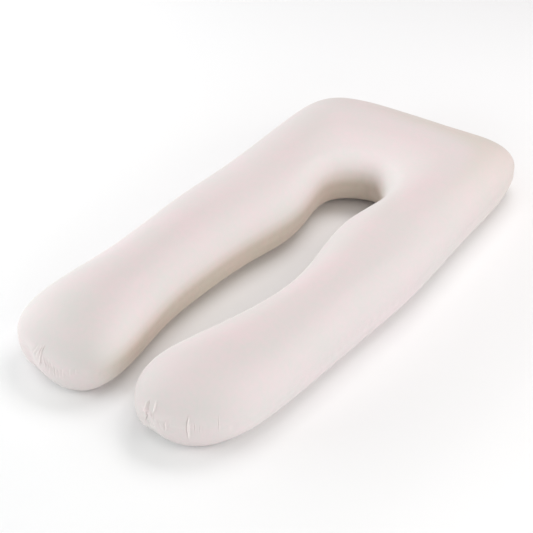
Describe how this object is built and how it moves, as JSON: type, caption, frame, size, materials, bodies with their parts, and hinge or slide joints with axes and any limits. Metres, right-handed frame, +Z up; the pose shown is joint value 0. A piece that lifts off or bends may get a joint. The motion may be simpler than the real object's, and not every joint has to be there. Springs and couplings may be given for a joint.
{
  "type": "body pillow",
  "caption": "U-shaped filled body pillow in a smooth off-white cover: two long arms that nearly meet at their ends, joined by a wide head round a bulb-shaped hollow.",
  "frame": {"origin": "on the surface it lies on, under the middle of its box in plan", "axes": "+Y from the ends of the arms towards the head, +X towards the right arm, +Z up from the surface"},
  "size_m": [0.698, 1.4418, 0.1916],
  "materials": {
    "cover": "soft brushed cotton jersey, matt, off-white with a faint pink cast"
  },
  "bodies": {
    "root": {"filled_pillow": "cover"}
  },
  "joints": []
}
